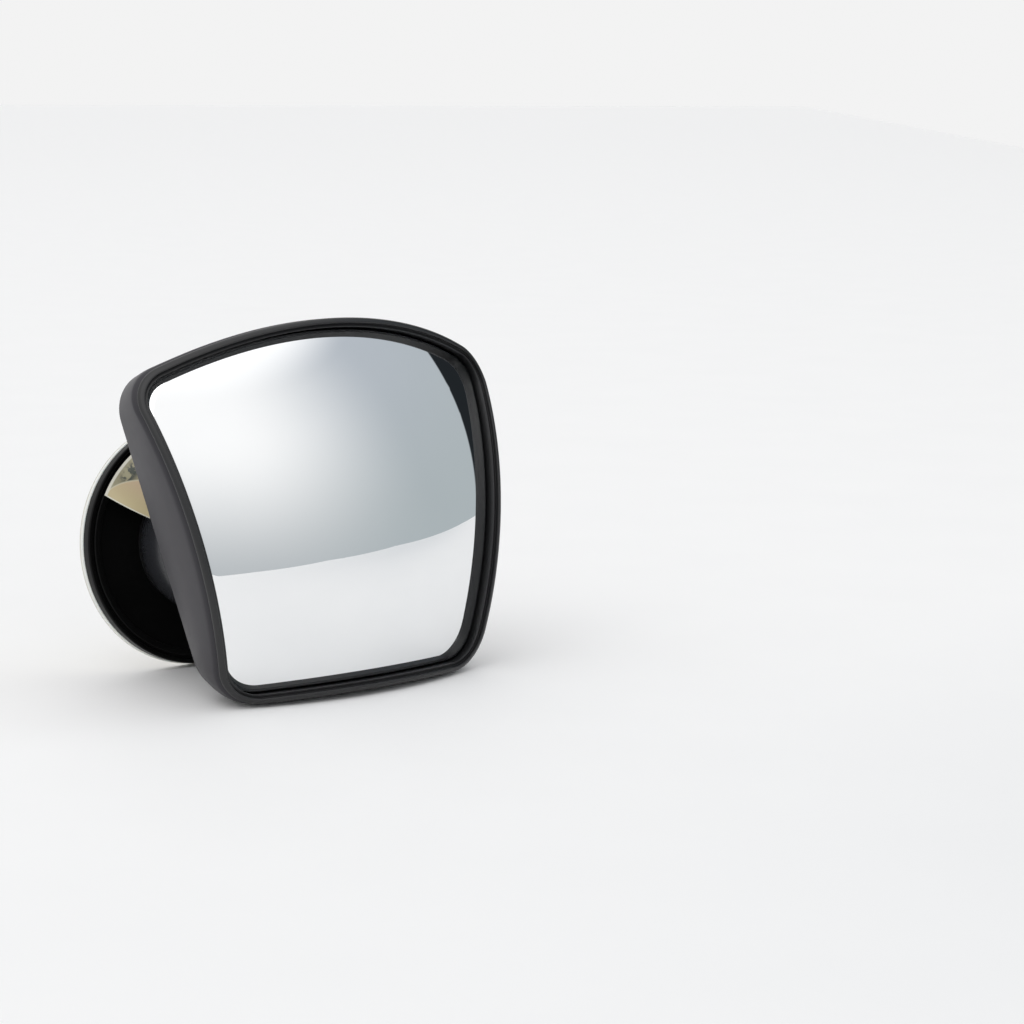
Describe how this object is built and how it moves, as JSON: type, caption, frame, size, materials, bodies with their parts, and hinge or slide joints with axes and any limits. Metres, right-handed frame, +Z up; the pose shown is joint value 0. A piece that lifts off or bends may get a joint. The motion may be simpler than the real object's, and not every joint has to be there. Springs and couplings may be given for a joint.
{
  "type": "stick-on auxiliary convex mirror",
  "caption": "Fan-shaped convex auxiliary mirror in a raised rim, with a domed shell on a ball joint and a round adhesive base.",
  "frame": {"origin": "middle of the box round the unit as it stands on the ground, at ground height", "axes": "+Z up, -Y the way the glass faces, +X to the right as seen by someone looking at the glass"},
  "size_m": [0.0838, 0.0536, 0.0747],
  "materials": {
    "mirror_glass": "polished",
    "glass_pad": "matt",
    "front_frame": "satin",
    "rear_housing": "satin",
    "housing_screws": "satin",
    "friction_ring": "matt",
    "pivot_bushing": "matt",
    "thrust_washer": "satin",
    "lock_nut": "satin",
    "friction_saddle": "matt",
    "disc_springs": "satin",
    "spring_washer": "satin",
    "pivot_bolt": "satin",
    "turret_dome": "satin",
    "base_disc": "semi-gloss",
    "turret_retainer": "satin",
    "retainer_screws": "satin",
    "glide_ring": "matt",
    "foam_pad": "matt",
    "release_liner": "matt",
    "film_label": "satin"
  },
  "bodies": {
    "base": {"base_disc": "base_disc", "foam_pad": "foam_pad", "release_liner": "release_liner", "film_label": "film_label", "turret_retainer": "turret_retainer", "retainer_screws": "retainer_screws", "glide_ring": "glide_ring"},
    "turret": {"turret_dome": "turret_dome"},
    "carrier": {"friction_saddle": "friction_saddle", "disc_springs": "disc_springs", "spring_washer": "spring_washer", "pivot_bolt": "pivot_bolt", "thrust_washer": "thrust_washer", "lock_nut": "lock_nut"},
    "head": {"mirror_glass": "mirror_glass", "glass_pad": "glass_pad", "front_frame": "front_frame", "rear_housing": "rear_housing", "housing_screws": "housing_screws", "friction_ring": "friction_ring", "pivot_bushing": "pivot_bushing"}
  },
  "joints": [
    {"name": "turret_swivel", "type": "hinge", "parent": "base", "child": "turret", "pos_m": [-0.0125, 0.01345, 0.02677], "axis": [0, -0.9923, 0.1238], "continuous": true},
    {"name": "head_tilt", "type": "hinge", "parent": "turret", "child": "carrier", "pos_m": [-0.0125, 0.01345, 0.02677], "axis": [1, 0, 0], "range_deg": [-20, 20]},
    {"name": "head_spin", "type": "hinge", "parent": "carrier", "child": "head", "pos_m": [-0.0125, 0.01345, 0.02677], "axis": [0, -0.9923, 0.1238], "continuous": true}
  ]
}
